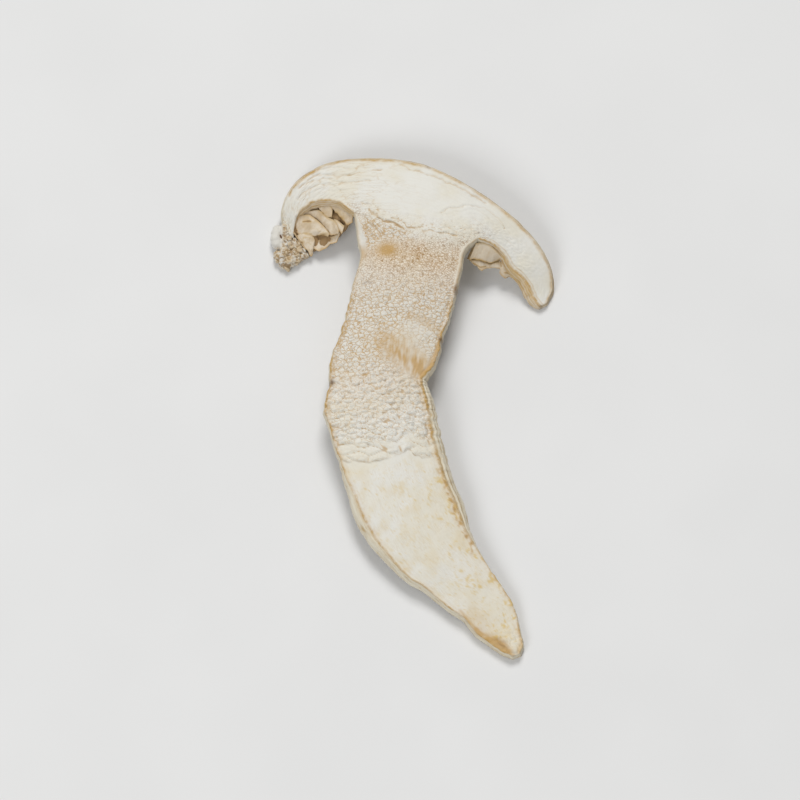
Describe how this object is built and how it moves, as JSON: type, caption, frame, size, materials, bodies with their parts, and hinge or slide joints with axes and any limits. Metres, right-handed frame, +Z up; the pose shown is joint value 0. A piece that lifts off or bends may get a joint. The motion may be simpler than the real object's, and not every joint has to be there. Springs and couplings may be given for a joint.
{
  "type": "dried matsutake mushroom slice",
  "caption": "Lengthwise slice of a dried matsutake mushroom: curled cap and stem in one slab, shrivelled gills under the cap and a scrap of veil at its margin.",
  "frame": {"origin": "on the surface that the slice lies on, under the middle of its footprint", "axes": "+Y from the stem's tip to the crown of the cap, +X towards the right margin of the cap as seen on the cut face, +Z up out of the cut face"},
  "size_m": [0.0638, 0.1168, 0.0112],
  "materials": {
    "flesh": "matt, dry, cream with ochre edges",
    "gills": "matt, papery, pinkish tan",
    "veil": "matt, cottony, off-white to brown"
  },
  "bodies": {
    "root": {"cap_and_stem": "flesh", "gills_left": "gills", "gills_right": "gills", "veil_remnant": "veil"}
  },
  "joints": []
}
